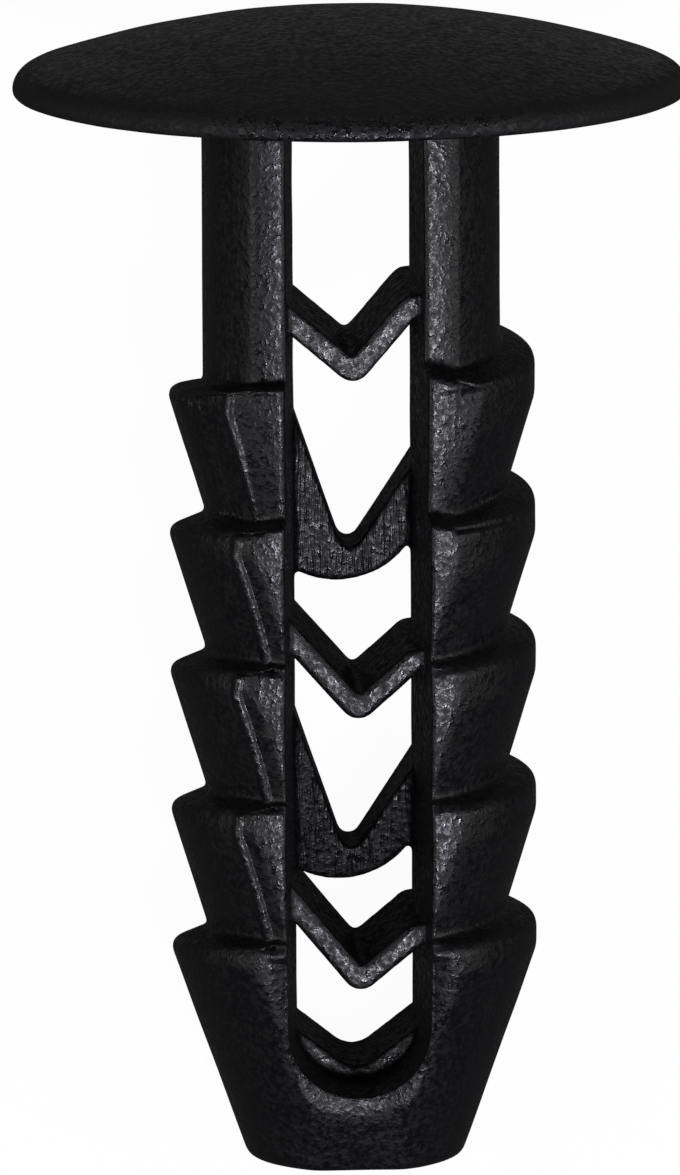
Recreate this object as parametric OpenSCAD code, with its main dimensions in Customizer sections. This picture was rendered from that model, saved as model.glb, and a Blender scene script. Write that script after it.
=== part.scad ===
// Fir tree clip: a round domed head on a split shank with five rows of barbs, moulded in one piece.
// The clip is drawn upright, nose down at z = 0 with its front towards -Y, and laid down at the end.

/* [Head] */
// Diameter of the head
head_d = 18; // [15:0.5:24]
// Height of the crown above the widest part of the head
crown_h = 2; // [1.2:0.05:3]
// Radius of the upper edge of the rim
rim_upper_r = 0.6; // [0.2:0.05:0.8]
// Radius of the lower edge of the rim
rim_lower_r = 0.15; // [0.05:0.05:0.3]

/* [Shank] */
// Length from the flat seat under the head to the tip of the nose
shank_length = 28.8; // [26:0.2:34]
// Diameter of the plain shank below the head
shank_d = 7.95; // [7.8:0.05:8.6]
// Thickness of the plain shank between its front and back flats
shank_flat = 5.8; // [5:0.1:6.2]

/* [Barbs] */
// Number of rows of barbs, the one on the nose included
barb_rows = 5; // [3:1:6]
// Distance from one row to the next
barb_pitch = 3.75; // [3.2:0.05:4]
// Height of the lowest ledge above the tip of the nose
nose_h = 6; // [5.5:0.05:6.5]
// Diameter across the barbs
barb_d = 9.8; // [9:0.1:10.6]
// Thickness across the barbs at a ledge, between their front and back flats
barb_flat = 8; // [7.4:0.1:8.4]
// Thickness across the top row at its ledge, which is a little thinner
top_flat = 7.1; // [6.8:0.1:8.4]
// Diameter at the root of each barb
root_d = 7.9; // [7.4:0.1:8.4]
// Thickness that each barb loses from its ledge down to its root
flat_loss = 1; // [0.4:0.1:1.2]
// Slope of each ledge down to its edge, in degrees
ledge_slope = 26; // [5:1:30]
// Fall of the ledges to the back on the left leg, in degrees
left_skew = 2.5; // [0:0.5:5]
// Rise of the lowest ledge to the back on the right leg, in degrees
low_skew = 5.5; // [0:0.5:8]
// Rise of the top ledge to the back on the right leg, in degrees
top_skew = 10; // [0:0.5:12]
// Rounding of the edge of each ledge
ledge_edge_r = 0.3; // [0.1:0.05:0.4]
// Height of the blunt edge under each ledge
edge_land = 0.3; // [0.1:0.05:0.5]

/* [Nose] */
// Diameter of the tip of the nose
nose_d = 5.75; // [5:0.05:6.5]
// Thickness of the tip of the nose between its flats
nose_flat = 5; // [4.4:0.1:5.4]
// Rounding of the edge of the tip
nose_edge_r = 0.3; // [0.2:0.05:0.8]

/* [Slot] */
// Width of the slot between the legs, at mid thickness
slot_w = 3.1; // [2.6:0.1:3.6]
// Draft of the slot towards the front and the back, in degrees
slot_draft = 5.8; // [0:0.2:8]
// Height of the centre of the round bottom of the slot
slot_bottom_h = 3.96; // [3.6:0.05:4.4]

/* [Chevrons] */
// Heights of the thin chevrons that join the legs, at the underside of each point
chevron_h = [5, 12.35, 21.4];
// Lean of each chevron towards the left leg, in degrees
chevron_lean = [-5.5, -3.5, 4.5];
// Angle of their arms, in degrees
chevron_angle = 45; // [30:1:50]
// Thickness of their arms
chevron_t = 0.6; // [0.3:0.05:0.7]
// Rounding of the underside of each point
chevron_point_r = 0.5; // [0.3:0.05:0.8]
// Rounding inside each point
chevron_inner_r = 0.15; // [0.1:0.05:0.3]
// Distance from mid thickness to the front face of the chevrons
chevron_front = 2.85; // [2.4:0.05:2.9]
// Distance from mid thickness to the back face of the chevrons and webs
strut_back = 2.35; // [2:0.05:2.85]

/* [Webs] */
// Heights of the notched webs in the back half, at the middle of each underside
web_h = [7.45, 15.6];
// Height of solid web under its notch
web_core = 0.9; // [0.6:0.05:1.4]
// Angle of the sides of the notches, in degrees
notch_angle = 64; // [50:1:68]
// Lean of the notches towards the right leg, in degrees
notch_lean = 7; // [0:1:10]
// Distance of the bottom of each notch to the left of the middle of the slot
notch_shift = 0.15; // [0:0.05:0.4]
// Rounding at the bottom of the notches
notch_r = 0.3; // [0.1:0.05:0.4]
// Radius of the round underside of the webs
web_under_r = 2.3; // [2.25:0.05:2.6]
// Distance of the lowest point of each web to the left of the middle of the slot
web_shift = 0.4; // [0:0.05:0.4]

/* [Slot floor] */
// Height of the point of the vee-shaped floor behind the mouth of the slot
floor_h = 2.58; // [2.5:0.02:2.9]
// Angle of the sides of the floor, in degrees
floor_angle = 38; // [30:1:45]
// Rounding at the point of the floor
floor_r = 0.75; // [0.2:0.05:0.9]
// Distance from mid thickness to the front edge of the floor
floor_front = 1.15; // [0.6:0.05:1.5]

/* [Hidden] */

$fn = 96;
head_r = head_d / 2;
shank_r = shank_d / 2;
barb_r = barb_d / 2;
root_r = root_d / 2;
nose_r = nose_d / 2;

// Overlap by which one form runs into the next
lap = 0.6;
// Reach of a cutting form past the solid
reach = 3;

rim_h = shank_length + rim_lower_r;
crown_r = (pow(head_r - rim_upper_r, 2) + pow(crown_h, 2) - pow(rim_upper_r, 2))
    / (2 * (crown_h - rim_upper_r));
crown_edge = (head_r - rim_upper_r) * crown_r / (crown_r - rim_upper_r);

top_row = barb_rows - 1;
top_ledge = nose_h + top_row * barb_pitch;
nose_taper = atan((barb_r - nose_r) / (nose_h - edge_land));
slot_spread = tan(slot_draft);
strut_half_w = slot_w / 2 + lap;

// How the clip lies: on the edge of its rim and on the back flat of its nose
function tilt_on(flat, height) =
    let(across = head_r - rim_lower_r - flat / 2, along = rim_h - height)
    atan(across / along) + asin(rim_lower_r / norm([across, along]));
lie_tilt = min(tilt_on(barb_flat, nose_h), tilt_on(nose_flat, 0));
lie_lift = (head_r - rim_lower_r) * cos(lie_tilt) - rim_h * sin(lie_tilt) + rim_lower_r;
lie_top = (rim_h + crown_h - crown_r) * cos(lie_tilt) + crown_r;
lie_bottom = -nose_flat / 2 * sin(lie_tilt);

// A wedge that opens upwards from a rounded point at the origin
module rounded_wedge(angle, half_w, point_r) {
    touch_x = point_r * sin(angle);
    touch_y = point_r / cos(angle) - point_r * cos(angle);
    polygon([
        [-half_w, half_w * tan(angle)],
        [-touch_x, touch_y],
        [touch_x, touch_y],
        [half_w, half_w * tan(angle)]
    ]);
    translate([0, point_r / cos(angle)])
        circle(r = point_r);
}

// An outline in X and Z made solid from one depth to another
module through(front, back) {
    translate([0, back, 0])
        rotate([90, 0, 0])
            linear_extrude(back - front)
                children();
}

module head_section() {
    intersection() {
        translate([0, crown_h - crown_r])
            circle(r = crown_r, $fn = 360);
        square([crown_edge, crown_h + 1]);
    }
    intersection() {
        translate([head_r - rim_upper_r, 0])
            circle(r = rim_upper_r);
        square([head_r, rim_upper_r]);
    }
    intersection() {
        translate([head_r - rim_lower_r, 0])
            circle(r = rim_lower_r);
        translate([0, -rim_lower_r])
            square([head_r, rim_lower_r]);
    }
    translate([0, -rim_lower_r])
        square([head_r - rim_lower_r, rim_lower_r]);
}

module head() {
    translate([0, 0, rim_h])
        rotate_extrude()
            head_section();
}

module plain_shank() {
    translate([0, 0, top_ledge - lap])
        intersection() {
            cylinder(r = shank_r, h = shank_length - top_ledge + 2 * lap);
            translate([-shank_r, -shank_flat / 2, 0])
                cube([shank_d, shank_flat, shank_length - top_ledge + 2 * lap]);
        }
}

// The skew of a ledge on one leg, positive where it rises to the back
function skew(side, row) =
    side < 0 ? -left_skew : low_skew + (top_skew - low_skew) * row / top_row;

// The top of a row of barbs: a shallow cone with a rounded edge, skewed about its front edge
module ledge_section(depth) {
    edge_x = barb_r - ledge_edge_r;
    edge_z = ledge_edge_r * (sin(ledge_slope) - 1) / cos(ledge_slope);
    polygon([
        [0, -depth],
        [barb_r, -depth],
        [barb_r, edge_z],
        [edge_x + ledge_edge_r * sin(ledge_slope), edge_z + ledge_edge_r * cos(ledge_slope)],
        [0, barb_r * tan(ledge_slope)]
    ]);
    translate([edge_x, edge_z])
        circle(r = ledge_edge_r);
}

module ledge(side, row, flat, depth) {
    intersection() {
        translate([0, -flat / 2, 0])
            rotate([skew(side, row), 0, 0])
                translate([0, flat / 2, 0])
                    rotate_extrude()
                        ledge_section(depth);
        translate([side > 0 ? -slot_w / 4 : -barb_d, -barb_d, -2 * depth])
            cube([barb_d + slot_w / 4, 2 * barb_d, 4 * depth]);
    }
}

// The flats on the front and back of a row, which widen up to its ledge, as an outline in Y and Z
// made solid across the clip
module flats(low_h, low_flat, high_h, high_flat) {
    spread = (high_flat - low_flat) / 2 / (high_h - low_h);
    low = low_flat / 2 - spread * lap;
    high = high_flat / 2;
    rotate([90, 0, 90])
        translate([0, 0, -barb_d])
            linear_extrude(2 * barb_d)
                polygon([
                    [-low, low_h - lap],
                    [low, low_h - lap],
                    [high, high_h],
                    [high, high_h + reach],
                    [-high, high_h + reach],
                    [-high, high_h]
                ]);
}

module flank_section() {
    spread = (barb_r - root_r) / (barb_pitch - edge_land - (barb_r - root_r) * tan(ledge_slope));
    polygon([
        [0, -barb_pitch - lap],
        [root_r, -barb_pitch - lap],
        [root_r, (barb_r - root_r) * tan(ledge_slope) - barb_pitch],
        [barb_r + spread * reach, reach - edge_land],
        [0, reach - edge_land]
    ]);
}

module barb_row(row) {
    level = nose_h + row * barb_pitch;
    flat = row == top_row ? top_flat : barb_flat;
    intersection() {
        translate([0, 0, level])
            rotate_extrude()
                flank_section();
        flats(level - barb_pitch, flat - flat_loss, level, flat);
        translate([0, 0, level])
            for (side = [-1, 1])
                ledge(side, row, flat, barb_pitch + 2 * lap);
    }
}

module nose_section() {
    edge_x = nose_r - nose_edge_r * (1 - sin(nose_taper)) / cos(nose_taper);
    polygon([
        [0, 0],
        [edge_x, 0],
        [edge_x + nose_edge_r * cos(nose_taper), nose_edge_r * (1 - sin(nose_taper))],
        [barb_r + tan(nose_taper) * reach, nose_h - edge_land + reach],
        [0, nose_h - edge_land + reach]
    ]);
    translate([edge_x, nose_edge_r])
        circle(r = nose_edge_r);
}

module nose() {
    intersection() {
        rotate_extrude()
            nose_section();
        flats(0, nose_flat, nose_h, barb_flat);
        translate([0, 0, nose_h])
            for (side = [-1, 1])
                ledge(side, 0, barb_flat, nose_h + lap);
    }
}

// The slot: drafted walls on a drafted round bottom, open to the front and the back
module slot() {
    depth = barb_flat / 2 + 1;
    mouth = slot_w / 2 + depth * slot_spread;
    translate([0, 0, slot_bottom_h])
        linear_extrude(shank_length - slot_bottom_h)
            polygon([
                [-mouth, -depth],
                [mouth, -depth],
                [slot_w / 2, 0],
                [mouth, depth],
                [-mouth, depth],
                [-slot_w / 2, 0]
            ]);
    for (turn = [90, -90])
        translate([0, 0, slot_bottom_h])
            rotate([turn, 0, 0])
                cylinder(r1 = slot_w / 2, r2 = mouth, h = depth);
}

module chevron(level, lean) {
    inner_rise = chevron_t / cos(chevron_angle);
    chevron_top = inner_rise + strut_half_w * tan(chevron_angle + abs(lean));
    through(-chevron_front, strut_back)
        translate([0, level - chevron_point_r * (1 / cos(chevron_angle) - 1)])
            intersection() {
                rotate(lean)
                    difference() {
                        rounded_wedge(chevron_angle, 2 * strut_half_w, chevron_point_r);
                        translate([0, inner_rise])
                            rounded_wedge(chevron_angle, 3 * strut_half_w, chevron_inner_r);
                    }
                translate([-strut_half_w, 0])
                    square([2 * strut_half_w, chevron_top]);
            }
}

module web(level) {
    notch_low = web_core - notch_r * (1 / cos(notch_angle) - 1);
    wall_h = web_core + strut_half_w * tan(notch_angle);
    through(0, strut_back)
        translate([0, level])
            difference() {
                intersection() {
                    translate([-web_shift, web_under_r])
                        union() {
                            circle(r = web_under_r);
                            translate([-web_under_r, 0])
                                square([2 * web_under_r, wall_h]);
                        }
                    translate([-strut_half_w, 0])
                        square([2 * strut_half_w, wall_h]);
                }
                translate([-notch_shift, notch_low])
                    rotate(-notch_lean)
                        rounded_wedge(notch_angle, 3 * strut_half_w, notch_r);
            }
}

module slot_floor() {
    through(-floor_front, strut_back)
        difference() {
            translate([-strut_half_w, slot_bottom_h - slot_w / 2 - lap])
                square([2 * strut_half_w, strut_half_w * tan(floor_angle) + lap]);
            translate([0, floor_h - floor_r * (1 / cos(floor_angle) - 1)])
                rounded_wedge(floor_angle, 2 * strut_half_w, floor_r);
        }
}

module clip() {
    head();
    difference() {
        union() {
            plain_shank();
            for (row = [1 : top_row])
                barb_row(row);
            nose();
        }
        slot();
    }
    for (n = [0 : len(chevron_h) - 1])
        chevron(chevron_h[n], chevron_lean[n]);
    for (level = web_h)
        web(level);
    slot_floor();
}

module fir_tree_clip() {
    color("#1b1b1d")
        translate([0, -(lie_top + lie_bottom) / 2, lie_lift])
            rotate([lie_tilt - 90, 0, 0])
                clip();
}

fir_tree_clip();
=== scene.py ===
import math

import bmesh
import bpy
import numpy
from mathutils import Matrix, Vector, noise


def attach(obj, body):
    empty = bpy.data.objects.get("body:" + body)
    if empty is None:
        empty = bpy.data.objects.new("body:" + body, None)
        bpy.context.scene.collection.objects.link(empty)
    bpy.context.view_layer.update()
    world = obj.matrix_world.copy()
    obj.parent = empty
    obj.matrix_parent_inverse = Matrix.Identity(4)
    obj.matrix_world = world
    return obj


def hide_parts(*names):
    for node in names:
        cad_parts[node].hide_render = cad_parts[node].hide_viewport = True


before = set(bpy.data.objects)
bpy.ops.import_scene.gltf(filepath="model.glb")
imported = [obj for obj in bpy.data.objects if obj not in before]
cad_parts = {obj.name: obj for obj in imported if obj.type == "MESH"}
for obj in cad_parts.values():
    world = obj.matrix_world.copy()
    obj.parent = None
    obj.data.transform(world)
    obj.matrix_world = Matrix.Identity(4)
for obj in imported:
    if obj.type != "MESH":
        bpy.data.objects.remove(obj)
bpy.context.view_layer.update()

for name in ("Cube", "Light", "Camera"):    # what a new Blender file starts with
    if name in bpy.data.objects:
        bpy.data.objects.remove(bpy.data.objects[name])

# The clip is modelled upright in millimetres, nose down at z = 0 with its front towards -Y,
# and laid down and turned to metres at the end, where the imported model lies.


def hexColour(code):
    # sRGB hex to linear
    channels = [int(code[i:i + 2], 16) / 255 for i in (1, 3, 5)]
    return [c / 12.92 if c <= 0.04045 else ((c + 0.055) / 1.055) ** 2.4 for c in channels] + [1]


def addNode(tree, kind, settings=None, links=None, **sockets):
    # settings are the node's own options, sockets its constant inputs, links its joined inputs
    node = tree.nodes.new(kind)
    for key, value in (settings or {}).items():
        setattr(node, key, value)
    for key, value in sockets.items():
        node.inputs[key.replace("_", " ")].default_value = value
    for key, source in (links or {}).items():
        tree.links.new(source, node.inputs[key])
    return node


def meshFrom(vertices, faces, weld=1e-5):
    # corners closer than weld become one
    mesh = bpy.data.meshes.new("work")
    build = bmesh.new()
    verts = [build.verts.new(v) for v in vertices]
    for face in faces:
        build.faces.new([verts[i] for i in face])
    bmesh.ops.remove_doubles(build, verts=build.verts, dist=weld)
    bmesh.ops.recalc_face_normals(build, faces=build.faces)
    build.to_mesh(mesh)
    build.free()
    return mesh


def lathe(profile, segments, startAngle=0, sweep=360):
    # profile runs in (radius, height) from the axis at the bottom to the axis at the top
    count = len(profile)
    closed = sweep == 360
    steps = segments if closed else segments + 1
    vertices = []
    for s in range(steps):
        angle = math.radians(startAngle + sweep * s / segments)
        vertices += [(r * math.cos(angle), r * math.sin(angle), z) for r, z in profile]
    faces = []
    for s in range(segments):
        a, b = s * count, ((s + 1) % steps) * count
        for k in range(count - 1):
            low, high = profile[k][0], profile[k + 1][0]
            if low == 0 and high == 0:
                continue
            ring = [a + k, b + k, b + k + 1, a + k + 1]
            if low == 0:
                ring = [a + k, b + k + 1, a + k + 1]
            elif high == 0:
                ring = [a + k, b + k, a + k + 1]
            faces.append(ring)
    if not closed:
        faces.append(list(range(count)))
        faces.append(list(range((steps - 1) * count, steps * count)))
    return meshFrom(vertices, faces)


def extrude(outline, low, high, axis):
    # an outline in (x, z) made solid along Y, or in (y, z) along X
    def corner(point, along):
        return (point[0], along, point[1]) if axis == "Y" else (along, point[0], point[1])

    count = len(outline)
    vertices = [corner(point, along) for along in (low, high) for point in outline]
    faces = [list(range(count)), list(range(2 * count - 1, count - 1, -1))]
    faces += [[k, (k + 1) % count, (k + 1) % count + count, k + count] for k in range(count)]
    return meshFrom(vertices, faces)


def combine(base, tool, operation):
    # one solid boolean between two closed meshes
    baseObject = bpy.data.objects.new("base", base)
    toolObject = bpy.data.objects.new("tool", tool)
    for item in (baseObject, toolObject):
        bpy.context.collection.objects.link(item)
    cut = baseObject.modifiers.new("cut", "BOOLEAN")
    cut.object = toolObject
    cut.operation = operation
    cut.solver = "MANIFOLD"
    graph = bpy.context.evaluated_depsgraph_get()
    result = bpy.data.meshes.new_from_object(baseObject.evaluated_get(graph))
    for item in (baseObject, toolObject):
        bpy.data.objects.remove(item)
    return result


def arc(centre, radius, start, end, steps):
    points = []
    for k in range(steps + 1):
        angle = math.radians(start + (end - start) * k / steps)
        points.append((centre[0] + radius * math.cos(angle), centre[1] + radius * math.sin(angle)))
    return points


def tan(degrees):
    return math.tan(math.radians(degrees))


def turned(x, z, degrees):
    c, s = math.cos(math.radians(degrees)), math.sin(math.radians(degrees))
    return (x * c - z * s, x * s + z * c)


clip = {
    # lengths in mm, angles in degrees, R radius, H height above the nose's end
    # head
    "headR": 9, "crownH": 2, "rimUpperR": 0.6, "rimLowerR": 0.15,
    # shank; its flats, and all others, are given by the thickness over front and back
    "length": 28.8, "shankR": 3.975, "shankFlat": 5.8,
    # rows of barbs, the nose being the lowest; their flats lose flatLoss from ledge to root
    "rows": 5, "pitch": 3.75, "noseH": 6, "barbR": 4.9, "rootR": 3.95, "rootDepth": 4.42,
    "barbFlat": 8, "topFlat": 7.1, "flatLoss": 0.6,
    # ledges; the right ones are skewed more from row to row
    "ledgeSlope": 22, "leftTopSlope": 8, "ledgeRise": 0.3, "edgeR": 0.3, "edgeLand": 0.3,
    "leftSkew": 5.7, "lowSkew": 2, "topSkew": 7.4,
    # nose; its front bulges a little on the way down, here in (height, depth)
    "noseR": 2.875, "noseFlat": 5, "noseEdgeR": 0.3,
    "noseFront": [(0, 2.5), (0.6, 2.75), (1.3, 3.0), (2.1, 3.25), (3, 3.48), (4, 3.68), (5, 3.85)],
    # slot
    "slotHalf": 1.55, "slotDraft": 5.8, "slotBottomH": 3.96,
    # chevrons from the nose up: height of the point, lean, reach to the front and to the back
    "chevrons": [(5, -5.5, 2.85, 2.35), (12.35, -3.5, 2.85, 2.35), (21.4, 4.5, 2.45, 2.8)],
    "chevronAngle": 45, "chevronT": 0.6, "chevronPointR": 0.5, "chevronInnerR": 0.15,
    # their tops round over into the right leg, from this far out
    "shoulderX": 1.15, "shoulder": [(0, 0), (0.12, 0.12), (0.25, 0.2), (0.4, 0.24), (0.75, 0.26)],
    # webs from the nose up: height of the underside, lean of the front
    "webs": [(7.45, 12.5), (15.6, 6)], "webCore": 0.9, "webUnderR": 2.3, "webShift": 0.4,
    "notchAngle": 64, "notchLean": 7, "notchShift": 0.15, "notchR": 0.3, "strutBack": 2.35,
    # slot floor
    "floorH": 2.58, "floorAngle": 38, "floorR": 0.75, "floorFront": 1.15,
    # overlap of one form with the next, how far a row runs down into the one below,
    # and how far cutters reach past the solid
    "lap": 0.6, "sink": 1.2, "reach": 3, "margin": 1,
    # steps of the curves
    "turnSteps": 160, "headSteps": 288, "ledgeSteps": 96, "edgeSteps": 10, "veeSteps": 14,
    "rimLowerSteps": 6, "rimUpperSteps": 16, "domeSteps": 60, "slotSteps": 48, "underSteps": 32,
    "flatSteps": (1, 0.85, 0.7, 0.55, 0.4, 0.25, 0.12, 0),     # down from the ledge, in pitches
}


def domeRadius():
    # the head's dome runs into its rounded rim
    p = clip
    flatR = p["headR"] - p["rimUpperR"]
    return (flatR ** 2 + p["crownH"] ** 2 - p["rimUpperR"] ** 2) / (2 * (p["crownH"] - p["rimUpperR"]))


def headMesh():
    p = clip
    rimH = p["length"] + p["rimLowerR"]
    flatR = p["headR"] - p["rimUpperR"]
    domeR = domeRadius()
    domeEdge = math.degrees(math.asin(flatR / (domeR - p["rimUpperR"])))
    profile = [(0, p["length"])]
    profile += arc((p["headR"] - p["rimLowerR"], rimH), p["rimLowerR"], -90, 0, p["rimLowerSteps"])[:-1]
    profile += arc((flatR, rimH), p["rimUpperR"], 0, 90 - domeEdge, p["rimUpperSteps"])
    profile += arc((0, rimH + p["crownH"] - domeR), domeR, 90 - domeEdge, 90, p["domeSteps"])[1:-1]
    profile.append((0, rimH + p["crownH"]))
    return lathe(profile, p["headSteps"])


# The next four take one row and height, or an array of them. Row 0 is the nose.


def rowLevel(row):
    # height of a row's ledge
    return clip["noseH"] + row * clip["pitch"]


def flatWidth(row):
    # thickness over a row's flats at its ledge
    return numpy.where(row == clip["rows"] - 1, clip["topFlat"], clip["barbFlat"])


def flatDepth(row, height):
    # half-thickness over a row's flats, which curve in on the way down from the ledge
    down = numpy.maximum(rowLevel(row) - height, 0) / clip["pitch"]
    return flatWidth(row) / 2 - clip["flatLoss"] / 2 * down ** 2


def sectionDepth(row, height):
    # how much deeper than wide a row's section is, from its root up to its ledge
    up = (height - rowLevel(row - 1)) / clip["pitch"]
    return 1 + (clip["rootDepth"] / clip["rootR"] - 1) * (1 - numpy.clip(up, 0, 1))


def flatsMesh(back, front):
    # the block between a row's flats; back and front hold (height, depth) from the bottom up
    p = clip

    def run(side):      # carried straight on past both ends
        (low, first), (high, last) = side[0], side[-1]
        return [(low - p["sink"], first)] + side + [(high + p["reach"], last)]

    outline = [(depth, height) for height, depth in run(back)]
    outline += [(-depth, height) for height, depth in run(front)[::-1]]
    return extrude(outline, -2 * p["barbR"], 2 * p["barbR"], "X")


def ledgeMesh(side, row, depth):
    # half a turn of the shallow cone that tops a row, skewed about its front edge
    p = clip
    top = p["rows"] - 1
    slope = math.radians(p["leftTopSlope"] if side < 0 and row == top else p["ledgeSlope"])
    edgeX = p["barbR"] - p["edgeR"]
    edgeZ = p["edgeR"] * (math.sin(slope) - 1) / math.cos(slope)
    profile = [(0, -depth), (p["barbR"], -depth)]
    profile += arc((edgeX, edgeZ), p["edgeR"], 0, 90 - math.degrees(slope), p["edgeSteps"])
    profile.append((0, p["barbR"] * math.tan(slope)))
    mesh = lathe(profile, p["ledgeSteps"], -90 if side > 0 else 90, 180)
    skew = p["lowSkew"] + (p["topSkew"] - p["lowSkew"]) * row / top if side > 0 else -p["leftSkew"]
    half = flatWidth(row) / 2
    mesh.transform(Matrix.Translation((0, -half, rowLevel(row) + p["ledgeRise"]))
                   @ Matrix.Rotation(math.radians(skew), 4, "X") @ Matrix.Translation((0, half, 0)))
    return mesh


def noseForm():
    # the taper below the lowest ledge, and its flats
    p = clip
    taper = math.atan((p["barbR"] - p["noseR"]) / (p["noseH"] - p["edgeLand"]))
    edgeX = p["noseR"] - p["noseEdgeR"] * (1 - math.sin(taper)) / math.cos(taper)
    profile = [(0, 0)]
    profile += arc((edgeX, p["noseEdgeR"]), p["noseEdgeR"], -90, -math.degrees(taper), p["edgeSteps"])
    top = p["noseH"] - p["edgeLand"] + p["reach"]
    profile += [(p["barbR"] + math.tan(taper) * p["reach"], top), (0, top)]
    ledge = (p["noseH"], p["barbFlat"] / 2)
    flats = flatsMesh([(0, p["noseFlat"] / 2), ledge], p["noseFront"] + [ledge])
    return lathe(profile, p["turnSteps"]), flats


def barbForm(row):
    # a cone that widens up to its ledge, deeper than wide where the barbs are cut in from the
    # sides, and its flats
    p = clip
    level = rowLevel(row)
    grow = p["barbR"] - p["rootR"]
    spread = grow / (p["pitch"] - p["edgeLand"] - grow * tan(p["ledgeSlope"]))
    low, top = -p["pitch"] - p["sink"], p["reach"] - p["edgeLand"]
    profile = [(0, low), (p["rootR"], low), (p["rootR"], grow * tan(p["ledgeSlope"]) - p["pitch"]),
               (p["barbR"], -p["edgeLand"]), (p["barbR"] + spread * p["reach"], top), (0, top)]
    body = lathe([(r, z + level) for r, z in profile], p["turnSteps"])
    for corner in body.vertices:
        corner.co.y *= sectionDepth(row, corner.co.z)
    heights = [level - down * p["pitch"] for down in p["flatSteps"]]
    side = [(height, flatDepth(row, height)) for height in heights]
    return body, flatsMesh(side, side)


def rowMesh(row):
    p = clip
    body, flats = barbForm(row) if row else noseForm()
    depth = p["pitch"] + 2 * p["sink"] if row else p["noseH"] + p["lap"]
    body = combine(body, flats, "INTERSECT")
    left, right = [combine(body, ledgeMesh(side, row, depth), "INTERSECT") for side in (-1, 1)]
    return combine(left, right, "UNION")


def slotMesh():
    # drafted walls on a drafted round bottom, open to the front and the back
    p = clip
    depth = p["barbFlat"] / 2 + p["margin"]
    rings = []
    for y in (-depth, 0, depth):
        half = p["slotHalf"] + abs(y) * tan(p["slotDraft"])
        outline = arc((0, p["slotBottomH"]), half, 180, 360, p["slotSteps"])
        outline = [(-half, p["length"])] + outline + [(half, p["length"])]
        rings.append([(x, y, z) for x, z in outline])
    count = len(rings[0])
    faces = [list(range(count)), list(range(3 * count - 1, 2 * count - 1, -1))]
    for start in (0, count):
        for k in range(count):
            a, b = start + k, start + (k + 1) % count
            faces.append([a, b, b + count, a + count])
    return meshFrom(sum(rings, []), faces)


def sharpEnd(level, radius, angle):
    # where the sides of a vee would meet, if its rounded point lies at this level
    return level - radius * (1 / math.cos(math.radians(angle)) - 1)


def veeLine(point, angle, lean, radius, left, right):
    # a rounded vee that opens upwards, from left to right; lean turns it towards the left leg
    rise = radius / math.cos(math.radians(angle))
    dx, dz = turned(0, rise, lean)
    centre = (point[0] + dx, point[1] + dz)
    bend = arc(centre, radius, 270 - angle + lean, 270 + angle + lean, clip["veeSteps"])
    first, last = bend[0], bend[-1]
    leftEnd = (left, first[1] + (first[0] - left) * tan(angle - lean))
    rightEnd = (right, last[1] + (right - last[0]) * tan(angle + lean))
    return [leftEnd] + bend + [rightEnd]


def chevronMesh(level, lean, front, back):
    p = clip
    angle = p["chevronAngle"]
    left = -p["slotHalf"] - p["lap"]
    right = p["shoulderX"] + p["shoulder"][-1][0]
    sharp = sharpEnd(level, p["chevronPointR"], angle)
    under = veeLine((0, sharp), angle, lean, p["chevronPointR"], left, right)
    dx, dz = turned(0, p["chevronT"] / math.cos(math.radians(angle)), lean)
    over = veeLine((dx, sharp + dz), angle, lean, p["chevronInnerR"], left, p["shoulderX"])
    corner = over.pop()
    over += [(corner[0] + run, corner[1] + up) for run, up in p["shoulder"]]
    return extrude(under + over[::-1], -front, back, "Y")


def webMesh(level, draft):
    # round below and notched above, in the back half of the slot
    p = clip
    half = p["slotHalf"] + p["lap"]
    centre = (-p["webShift"], level + p["webUnderR"])
    underEnd = math.degrees(math.asin((half - p["webShift"]) / p["webUnderR"]))
    under = arc(centre, p["webUnderR"], 270 - underEnd, 360, p["underSteps"])
    core = level + p["webCore"]
    sharp = sharpEnd(core, p["notchR"], p["notchAngle"])
    notch = veeLine((-p["notchShift"], sharp), p["notchAngle"], -p["notchLean"], p["notchR"],
                    -half, under[-1][0])
    web = extrude(under + notch[::-1], 0, p["strutBack"], "Y")
    for corner in web.vertices:     # its front leans out towards the head
        if corner.co.y < p["strutBack"] / 2:
            corner.co.y = (core - corner.co.z) * tan(draft)
    return web


def floorMesh():
    p = clip
    half = p["slotHalf"] + p["lap"]
    low = p["slotBottomH"] - p["slotHalf"] - p["lap"]
    sharp = sharpEnd(p["floorH"], p["floorR"], p["floorAngle"])
    top = veeLine((0, sharp), p["floorAngle"], 0, p["floorR"], -half, half)
    return extrude([(-half, low), (half, low)] + top[::-1], -p["floorFront"], p["strutBack"], "Y")


def strutMeshes():
    # what joins the legs across the slot
    struts = [chevronMesh(*chevron) for chevron in clip["chevrons"]]
    return struts + [webMesh(*web) for web in clip["webs"]] + [floorMesh()]


def shankMesh():
    # the plain shank, from inside the top row to inside the head
    p = clip
    low, high = rowLevel(p["rows"] - 1) - p["sink"], p["length"] + p["lap"]
    rod = lathe([(0, low), (p["shankR"], low), (p["shankR"], high), (0, high)], p["turnSteps"])
    half = p["shankFlat"] / 2
    under, over = low - p["margin"], p["length"] + 2 * p["margin"]
    outline = [(-half, under), (half, under), (half, over), (-half, over)]
    return combine(rod, extrude(outline, -2 * p["barbR"], 2 * p["barbR"], "X"), "INTERSECT")


solid = shankMesh()
for row in range(clip["rows"]):
    solid = combine(solid, rowMesh(row), "UNION")
solid = combine(solid, slotMesh(), "DIFFERENCE")
for strut in strutMeshes():
    solid = combine(solid, strut, "UNION")
solid = combine(solid, headMesh(), "UNION")
print("solid", len(solid.vertices), "vertices,", len(solid.polygons), "faces")


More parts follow.
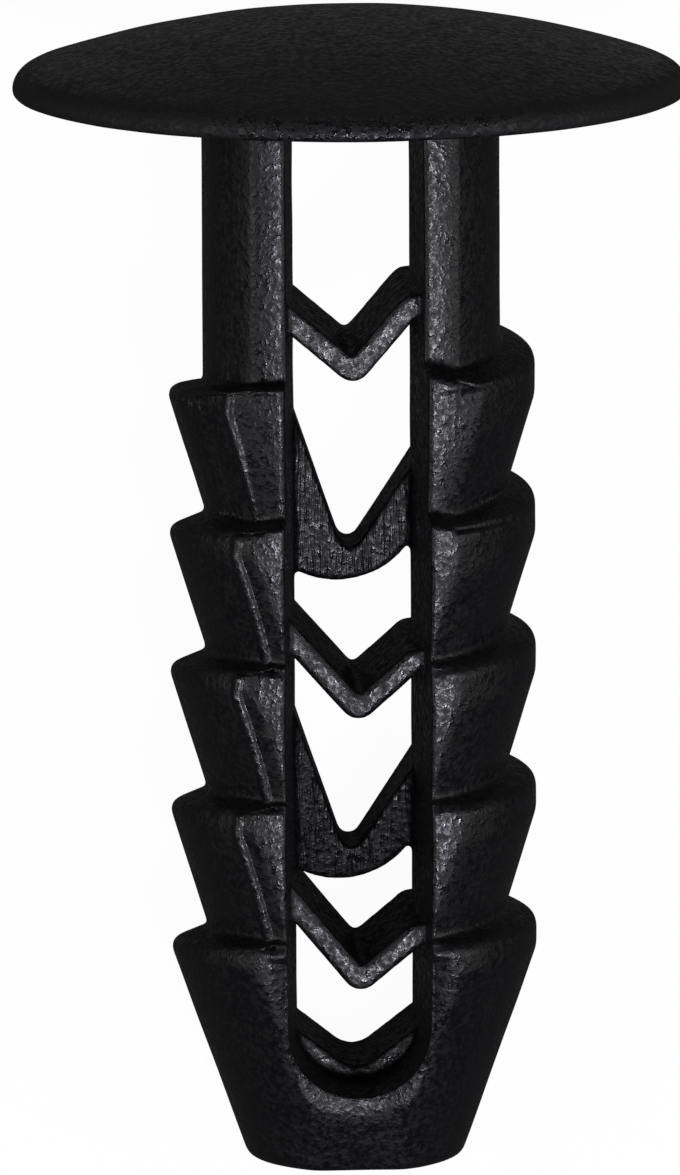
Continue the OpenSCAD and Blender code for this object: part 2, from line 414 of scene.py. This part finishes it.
skin = {
    "voxel": 0.07,              # mm
    "softness": 9, "softShare": 0.5,    # smoothing passes; they round the edges by about 0.12 mm
    "unevenness": 0.012,        # mm, slow waves of a moulded wall
    "unevenScale": 1.6,         # mm from wave to wave
    "crown": 0.11,              # mm that the shank's flats sink towards their outer edges
    "barbCrown": 0.075,         # and the barbs' flats
    "topCrown": 0.22,           # and those of the top row
    "crownFade": 3,             # mm past the edge where the sinking dies out
    "leastFlat": 0.3,           # mm, narrower flats are crowned as if this wide
    "topLean": 0.1,             # the top left flat also leans back outwards, in mm per mm
    "bow": 0.1,                 # mm that the shank's flats sink towards their ends
    "roll": 0.12,               # mm that the slot's lower edge is rolled in
    "rollWidth": 0.35,
    "flatReach": 0.35,          # mm from a flat, and past the slot's edge, that still moves with it
    "slotReach": 0.05,
    "facing": (0.3, 0.55),      # how squarely a surface faces forwards where it starts and fully moves
    "endFade": (0.3, 0.8),      # mm above the nose's end, where it starts and fully moves
    "flash": (0.2, 0.5),        # mm outside the left flats' edges, a strip of flash along the barbs
    "topFlash": (-0.12, 0.14),  # on the top row it runs at the flat's edge
    "flashDepth": 0.2,          # mm behind the flats
    "topFlashDepth": 0.27,
    "flashSoft": 0.07,
    "flashFacing": (0.4, 0.65),
    "faces": 190000,
}


def fade(value, start, full):
    # 0 up to start, 1 from full on
    return numpy.clip((value - start) / (full - start), 0, 1)


def flatEdge(points):
    # at each point's height: half-thickness over the flats, half-width to their edges, and row
    p = clip
    height = points[:, 2]
    row = numpy.ceil((height - p["ledgeRise"] - p["noseH"]) / p["pitch"])
    row = numpy.clip(row, 0, p["rows"]).astype(int)
    nose, shank = row == 0, row == p["rows"]
    front = numpy.array(p["noseFront"] + [(p["noseH"], p["barbFlat"] / 2)])
    noseHalf = numpy.interp(height, front[:, 0], front[:, 1])
    half = numpy.select([nose, shank], [noseHalf, p["shankFlat"] / 2], flatDepth(row, height))
    grow = p["barbR"] - p["rootR"]
    root = rowLevel(row) - p["pitch"] + grow * tan(p["ledgeSlope"])
    cone = p["rootR"] + grow * fade(height, root, rowLevel(row) - p["edgeLand"])
    taper = p["noseR"] + (p["barbR"] - p["noseR"]) * fade(height, 0, p["noseH"] - p["edgeLand"])
    radius = numpy.select([nose, shank], [taper, p["shankR"]], cone)
    deep = numpy.where(nose | shank, 1, sectionDepth(row, height))
    return half, radius * numpy.sqrt(numpy.clip(1 - (half / (radius * deep)) ** 2, 0, 1)), row


def dressFlats(points, normals):
    p, s = clip, skin
    half, edge, row = flatEdge(points)
    height = points[:, 2]
    across, depth = numpy.abs(points[:, 0]), numpy.abs(points[:, 1])
    slotEdge = p["slotHalf"] + depth * tan(p["slotDraft"])
    past = across - edge
    front = points[:, 1] < 0
    left = (points[:, 0] < 0) & front
    top = row == p["rows"] - 1
    # crowned flats, which sink from the slot to their outer edges
    crown = numpy.select([row == p["rows"], top], [s["crown"], s["topCrown"]], s["barbCrown"])
    sinking = numpy.clip(1 + past / numpy.maximum(edge - slotEdge, s["leastFlat"]), 0, 1) ** 2
    beyond = numpy.exp(-(past / s["crownFade"]) ** 2)
    inward = numpy.where(past < 0, sinking, beyond) * crown
    lean = numpy.clip(numpy.minimum(across, edge) - slotEdge, 0, None) * s["topLean"]
    inward += numpy.where(left & top, lean * numpy.where(past > 0, beyond, 1), 0)
    # bowed shank
    topLedge = rowLevel(p["rows"] - 1) + p["ledgeRise"]
    middle = (topLedge + p["length"]) / 2
    bow = ((height - middle) / (p["length"] - middle)) ** 2 * s["bow"]
    inward += numpy.where(height > topLedge, bow, 0)
    # the edge round the bottom of the slot is rolled in
    bowl = numpy.hypot(across, numpy.minimum(height - p["slotBottomH"], 0)) - slotEdge
    roll = numpy.exp(-(numpy.maximum(bowl, 0) / s["rollWidth"]) ** 2) * s["roll"]
    inward += numpy.where(front & (height < p["noseH"]), roll, 0)
    # only the flats and what lies outside them moves
    near = (numpy.abs(depth - half) < s["flatReach"]) | (past > 0)
    near &= (bowl > -s["slotReach"]) & (height < p["length"])
    facing = fade(numpy.abs(normals[:, 1]), *s["facing"]) * fade(height, *s["endFade"])
    points[:, 1] -= numpy.sign(points[:, 1]) * inward * facing * near
    # flash from the mould's parting line
    inner, outer = [numpy.where(top, s["topFlash"][k], s["flash"][k]) for k in (0, 1)]
    flash = fade(past, inner, inner + s["flashSoft"]) * fade(past, outer, outer - s["flashSoft"])
    flash *= fade(-normals[:, 1], *s["flashFacing"])
    behind = half - numpy.where(top, s["topFlashDepth"], s["flashDepth"])
    barbed = left & (row > 0) & (row < p["rows"])
    points[:, 1] += numpy.where(barbed, flash * (-behind - points[:, 1]), 0)


def mouldedSkin(mesh):
    # even mesh, soft edges, slight unevenness
    item = bpy.data.objects.new("fir_tree_clip_moulded", mesh)
    bpy.context.collection.objects.link(item)
    remesh = item.modifiers.new("even", "REMESH")
    remesh.mode = "VOXEL"
    remesh.voxel_size = skin["voxel"]
    remesh.use_smooth_shade = True
    soft = item.modifiers.new("soft", "SMOOTH")
    soft.factor = skin["softShare"]
    soft.iterations = skin["softness"]
    graph = bpy.context.evaluated_depsgraph_get()
    dense = bpy.data.meshes.new_from_object(item.evaluated_get(graph))
    item.modifiers.clear()
    points = numpy.empty((len(dense.vertices), 3), dtype=numpy.float32)
    normals = numpy.empty_like(points)
    dense.vertices.foreach_get("co", points.ravel())
    dense.vertex_normals.foreach_get("vector", normals.ravel())
    waves = [noise.noise(point) for point in (points / skin["unevenScale"]).tolist()]
    points += normals * numpy.array(waves, dtype=numpy.float32)[:, None] * skin["unevenness"]
    dressFlats(points, normals)
    dense.vertices.foreach_set("co", points.ravel())
    dense.update()
    item.data = dense
    triangles = sum(len(face.vertices) - 2 for face in dense.polygons)
    print("skin", triangles, "triangles before thinning")
    thin = item.modifiers.new("thin", "DECIMATE")
    thin.ratio = min(1, skin["faces"] / triangles)
    graph = bpy.context.evaluated_depsgraph_get()
    item.data = bpy.data.meshes.new_from_object(item.evaluated_get(graph))
    item.modifiers.clear()
    return item


def layDown():
    # on the edge of the head and the backs of the lowest barbs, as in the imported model
    p = clip
    rimR = p["headR"] - p["rimLowerR"]
    rimH = p["length"] + p["rimLowerR"]
    across, along = rimR - p["barbFlat"] / 2, rimH - p["noseH"]
    tilt = math.atan(across / along) + math.asin(p["rimLowerR"] / math.hypot(across, along))
    lift = rimR * math.cos(tilt) - rimH * math.sin(tilt) + p["rimLowerR"]
    domeR = domeRadius()
    top = (rimH + p["crownH"] - domeR) * math.cos(tilt) + domeR
    bottom = -p["noseFlat"] / 2 * math.sin(tilt)
    lay = Matrix.Translation((0, -(top + bottom) / 2, lift)) @ Matrix.Rotation(tilt - math.pi / 2, 4, "X")
    return Matrix.Scale(0.001, 4) @ lay     # mm to metres


toRow = layDown()
piece = mouldedSkin(solid)
piece.data.transform(toRow)
piece.data.shade_smooth()
print("clip", len(piece.data.polygons), "faces")


nylon = {
    "colour": "#0a0a0c",
    "ior": 1.53, "specular": 0.27,
    "grain": 0.16, "grainDepth": 0.03,          # mm from pit to pit, and their depth
    "smoothest": 0.2, "roughest": 0.6,          # tops of the grain and its pits
    "grainCut": (0.34, 0.66),                   # noise values of a pit and a top
    "patch": 0.5, "patchDepth": 0.03,           # mm from a smoother patch to a rougher one, and its relief
    "patchiness": 0.09, "patchCut": (0.3, 0.7),
    "streak": 0.11, "streakDepth": 0.06,        # mm, fine lines drawn down the webs
    "streakStretch": (1, 0.3, 0.12),
    "webFront": (-0.9, -0.5), "webBack": (1.0, 0.6), "webHalf": (1.62, 1.56),   # mm, where they fade in
    "worn": 0.3,                                # roughness that wear adds to the head's rim
    "rimLow": (28.6, 28.8), "rimHigh": (29.75, 29.3),   # mm, where the rim fades in from both sides
    "scuff": 0.3, "scuffDepth": 0.04,           # mm from scuff to scuff along its front, and their depth
    "scuffShine": 0.06, "scuffCut": (0.44, 0.52), "scuffHalf": (4.6, 3.2),
}


def mouldedNylon():
    # PA66 from a spark-eroded mould: black right through and satin, so its fine grain glitters
    # where a lamp is mirrored and stays black elsewhere
    m = nylon
    material = bpy.data.materials.new("moulded_nylon_pa66")
    material.use_nodes = True
    tree = material.node_tree
    tree.nodes.clear()
    smooth = {"interpolation_type": "SMOOTHSTEP"}
    times, plus = {"operation": "MULTIPLY"}, {"operation": "ADD"}

    def between(key):       # a pair of the dictionary as a node's range
        return {"From_Min": m[key][0], "From_Max": m[key][1]}

    # the clip's own upright place in mm
    upright = toRow.inverted()
    place = addNode(tree, "ShaderNodeTexCoord")
    own = addNode(tree, "ShaderNodeMapping", links={"Vector": place.outputs["Object"]},
                  Location=upright.translation, Rotation=upright.to_euler(), Scale=(1000, 1000, 1000))
    axes = addNode(tree, "ShaderNodeSeparateXYZ", links={0: own.outputs[0]})
    sideways = addNode(tree, "ShaderNodeMath", {"operation": "ABSOLUTE"}, {0: axes.outputs["X"]})
    # noise's own grain is about one unit, so scale is one over the real size in mm
    grain = addNode(tree, "ShaderNodeTexNoise", links={"Vector": own.outputs[0]},
                    Scale=1 / m["grain"], Detail=2.2, Roughness=0.55)
    cloud = addNode(tree, "ShaderNodeTexNoise", links={"Vector": own.outputs[0]},
                    Scale=1 / m["patch"], Detail=3, Roughness=0.6)
    # the tops of the grain are smoother than its pits, and patches differ a little
    tops = addNode(tree, "ShaderNodeMapRange", links={"Value": grain.outputs["Fac"]},
                   **between("grainCut"), To_Min=m["roughest"], To_Max=m["smoothest"])
    patches = addNode(tree, "ShaderNodeMapRange", links={"Value": cloud.outputs["Fac"]},
                      **between("patchCut"), To_Min=-m["patchiness"], To_Max=m["patchiness"])
    blend = addNode(tree, "ShaderNodeMath", plus, {0: tops.outputs[0], 1: patches.outputs[0]})
    # lines drawn down the webs: between the legs and behind the chevrons' fronts
    thin = addNode(tree, "ShaderNodeMapping", links={"Vector": own.outputs[0]}, Scale=m["streakStretch"])
    lines = addNode(tree, "ShaderNodeTexNoise", links={"Vector": thin.outputs[0]},
                    Scale=1 / m["streak"], Detail=1, Roughness=0.5)
    behind = addNode(tree, "ShaderNodeMapRange", smooth, {"Value": axes.outputs["Y"]},
                     **between("webFront"))
    ahead = addNode(tree, "ShaderNodeMapRange", smooth, {"Value": axes.outputs["Y"]},
                    **between("webBack"))
    reach = addNode(tree, "ShaderNodeMath", times, {0: behind.outputs[0], 1: ahead.outputs[0]})
    inside = addNode(tree, "ShaderNodeMapRange", links={"Value": sideways.outputs[0]}, **between("webHalf"))
    webbed = addNode(tree, "ShaderNodeMath", times, {0: reach.outputs[0], 1: inside.outputs[0]})
    # the head's rim is worn dull, and scuffed bright in specks along the front
    rim = addNode(tree, "ShaderNodeMapRange", smooth, {"Value": axes.outputs["Z"]}, **between("rimLow"))
    dome = addNode(tree, "ShaderNodeMapRange", smooth, {"Value": axes.outputs["Z"]}, **between("rimHigh"))
    rimmed = addNode(tree, "ShaderNodeMath", times, {0: rim.outputs[0], 1: dome.outputs[0]})
    specks = addNode(tree, "ShaderNodeTexNoise", links={"Vector": own.outputs[0]},
                     Scale=1 / m["scuff"], Detail=1, Roughness=0.5)
    rubbed = addNode(tree, "ShaderNodeMapRange", links={"Value": sideways.outputs[0]},
                     **between("scuffHalf"))
    bright = addNode(tree, "ShaderNodeMapRange",
                     links={"Value": specks.outputs["Fac"], "To Max": rubbed.outputs[0]},
                     **between("scuffCut"))
    wear = addNode(tree, "ShaderNodeMapRange", links={"Value": bright.outputs[0]},
                   To_Min=m["worn"], To_Max=-m["scuffShine"])
    dull = addNode(tree, "ShaderNodeMath", times, {0: rimmed.outputs[0], 1: wear.outputs[0]})
    rough = addNode(tree, "ShaderNodeMath", plus, {0: blend.outputs[0], 1: dull.outputs[0]})
    scuffed = addNode(tree, "ShaderNodeMath", times, {0: rimmed.outputs[0], 1: bright.outputs[0]})
    # relief, from the scuffs to the lines
    dents = addNode(tree, "ShaderNodeBump",
                    links={"Height": grain.outputs["Fac"], "Strength": scuffed.outputs[0]},
                    Distance=m["scuffDepth"] * 0.001)
    relief = addNode(tree, "ShaderNodeBump",
                     links={"Height": cloud.outputs["Fac"], "Normal": dents.outputs[0]},
                     Strength=1, Distance=m["patchDepth"] * 0.001)
    pits = addNode(tree, "ShaderNodeBump",
                   links={"Height": grain.outputs["Fac"], "Normal": relief.outputs[0]},
                   Strength=1, Distance=m["grainDepth"] * 0.001)
    bump = addNode(tree, "ShaderNodeBump",
                   links={"Height": lines.outputs["Fac"], "Strength": webbed.outputs[0],
                          "Normal": pits.outputs[0]},
                   Distance=m["streakDepth"] * 0.001)
    shader = addNode(tree, "ShaderNodeBsdfPrincipled",
                     links={"Roughness": rough.outputs[0], "Normal": bump.outputs["Normal"]},
                     IOR=m["ior"], Specular_IOR_Level=m["specular"], Base_Color=hexColour(m["colour"]))
    addNode(tree, "ShaderNodeOutputMaterial", links={"Surface": shader.outputs["BSDF"]})
    return material


piece.data.materials.clear()
piece.data.materials.append(mouldedNylon())
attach(piece, "root")
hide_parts("fir_tree_clip")
print("material done")


card = {
    "halfSize": 1.5,                                # metres
    "white": "#f6f6f6", "away": "#3a3a3a",          # to the camera, and to the light that it sends back
    "whiteShare": 0.96,                             # glow of its white to the camera
    "mirrorShare": 0.018, "farShare": 0.066,        # and in the clip, from the nose and beyond the head
    "near": 0.0150, "far": 0.0175,                  # metres along Y, where the second takes over
}


def makeFloor():
    # a pale card, white to the eye, that keeps a trace of the clip's shadow
    size = card["halfSize"]
    corners = [(-size, -size, 0), (size, -size, 0), (size, size, 0), (-size, size, 0)]
    mesh = meshFrom(corners, [[0, 1, 2, 3]])
    floor = bpy.data.objects.new("floor", mesh)
    bpy.context.collection.objects.link(floor)
    material = bpy.data.materials.new("white_card")
    material.use_nodes = True
    tree = material.node_tree
    tree.nodes.clear()
    path = addNode(tree, "ShaderNodeLightPath")
    seen = addNode(tree, "ShaderNodeMath", {"operation": "ADD", "use_clamp": True},
                   {0: path.outputs["Is Camera Ray"], 1: path.outputs["Is Transmission Ray"]})
    direct = addNode(tree, "ShaderNodeMath", {"operation": "MULTIPLY"}, {0: seen.outputs[0]})
    direct.inputs[1].default_value = card["whiteShare"]
    place = addNode(tree, "ShaderNodeTexCoord")
    axes = addNode(tree, "ShaderNodeSeparateXYZ", links={0: place.outputs["Object"]})
    mirrored = addNode(tree, "ShaderNodeMapRange", links={"Value": axes.outputs["Y"]},
                       From_Min=card["near"], From_Max=card["far"],
                       To_Min=card["mirrorShare"], To_Max=card["farShare"])
    share = addNode(tree, "ShaderNodeMath", {"operation": "MULTIPLY_ADD"},
                    {0: path.outputs["Is Glossy Ray"], 1: mirrored.outputs[0], 2: direct.outputs[0]})
    tone = addNode(tree, "ShaderNodeMix", {"data_type": "RGBA"}, {0: seen.outputs[0]})
    tone.inputs[6].default_value = hexColour(card["away"])      # its colours A and B
    tone.inputs[7].default_value = hexColour(card["white"])
    matt = addNode(tree, "ShaderNodeBsdfDiffuse", links={"Color": tone.outputs[2]})
    white = addNode(tree, "ShaderNodeEmission", Color=(1, 1, 1, 1), Strength=1)
    mix = addNode(tree, "ShaderNodeMixShader",
                  links={0: share.outputs[0], 1: matt.outputs["BSDF"], 2: white.outputs["Emission"]})
    addNode(tree, "ShaderNodeOutputMaterial", links={"Surface": mix.outputs["Shader"]})
    mesh.materials.append(material)


room = {"light": 0.05, "backdrop": 1}


def makeWorld():
    # a dim room that looks white behind the clip
    world = bpy.data.worlds.new("studio")
    bpy.context.scene.world = world
    world.use_nodes = True
    tree = world.node_tree
    tree.nodes.clear()
    path = addNode(tree, "ShaderNodeLightPath")
    seen = addNode(tree, "ShaderNodeMath", {"operation": "ADD", "use_clamp": True},
                   {0: path.outputs["Is Camera Ray"], 1: path.outputs["Is Transmission Ray"]})
    dim = addNode(tree, "ShaderNodeBackground", Color=(1, 1, 1, 1), Strength=room["light"])
    white = addNode(tree, "ShaderNodeBackground", Color=(1, 1, 1, 1), Strength=room["backdrop"])
    mix = addNode(tree, "ShaderNodeMixShader",
                  links={0: seen.outputs[0], 1: dim.outputs[0], 2: white.outputs[0]})
    addNode(tree, "ShaderNodeOutputWorld", links={"Surface": mix.outputs["Shader"]})


lampAim = (0, 0, 0.008)     # metres, the middle of the clip
lamps = [
    # name, place and size in metres, watts
    {"name": "key", "place": (0.058, -0.22, 0.56), "size": (0.1, 0.13), "watts": 2.6, "colour": "#f6f4ff"},
    {"name": "left", "place": (-0.52, 0.0, 0.36), "size": (0.5, 0.55), "watts": 1.6, "colour": "#ffffff"},
    {"name": "right", "place": (0.52, 0.0, 0.36), "size": (0.5, 0.55), "watts": 1.6, "colour": "#ffffff"},
    {"name": "head", "place": (0.0, 0.55, 0.09), "size": (0.2, 0.12), "watts": 0.1, "colour": "#ffffff"},
]


def addLamp(name, place, size, watts, colour):
    # a soft box that looks at the clip
    lamp = bpy.data.lights.new(name, "AREA")
    lamp.shape = "RECTANGLE"
    lamp.size, lamp.size_y = size
    lamp.energy = watts
    lamp.color = hexColour(colour)[:3]
    item = bpy.data.objects.new(name, lamp)
    bpy.context.collection.objects.link(item)
    item.location = place
    aim = Vector(lampAim) - Vector(place)
    item.rotation_euler = aim.to_track_quat("-Z", "Y").to_euler()


makeFloor()
makeWorld()
for lamp in lamps:
    addLamp(**lamp)


view = {
    "yaw": 2.1, "elevation": 10.0, "roll": -0.3,    # degrees, from straight in front of the upright clip
    "distance": 500, "aim": (0, 0, 15.5),           # mm
    "across": -0.335, "up": -0.078,                 # mm that the camera is moved in its own plane
    "pixelsPerMm": 37.37, "imageHeight": 1175,
    "sensor": 36,                                   # mm
    "clipStart": 0.01, "clipEnd": 10,               # metres
}


def makeCamera():
    v = view
    yaw, elevation, roll = (math.radians(v[k]) for k in ("yaw", "elevation", "roll"))
    back = Vector((-math.sin(yaw) * math.cos(elevation), -math.cos(yaw) * math.cos(elevation),
                   math.sin(elevation)))
    right = Vector((0, 0, 1)).cross(back).normalized()
    up = back.cross(right)
    right, up = (right * math.cos(roll) + up * math.sin(roll), up * math.cos(roll) - right * math.sin(roll))
    place = Vector(v["aim"]) + right * v["across"] + up * v["up"] + back * v["distance"]
    lens = bpy.data.cameras.new("camera")
    lens.sensor_width = v["sensor"]
    lens.sensor_fit = "AUTO"
    lens.lens = v["pixelsPerMm"] * v["distance"] * v["sensor"] / v["imageHeight"]
    lens.clip_start, lens.clip_end = v["clipStart"], v["clipEnd"]
    camera = bpy.data.objects.new("camera", lens)
    bpy.context.collection.objects.link(camera)
    turn = toRow.to_3x3().normalized() @ Matrix((right, up, back)).transposed()
    camera.matrix_world = Matrix.Translation(toRow @ place) @ turn.to_4x4()
    bpy.context.scene.camera = camera


makeCamera()
bpy.context.scene.view_settings.view_transform = "Standard"
print("stage done")
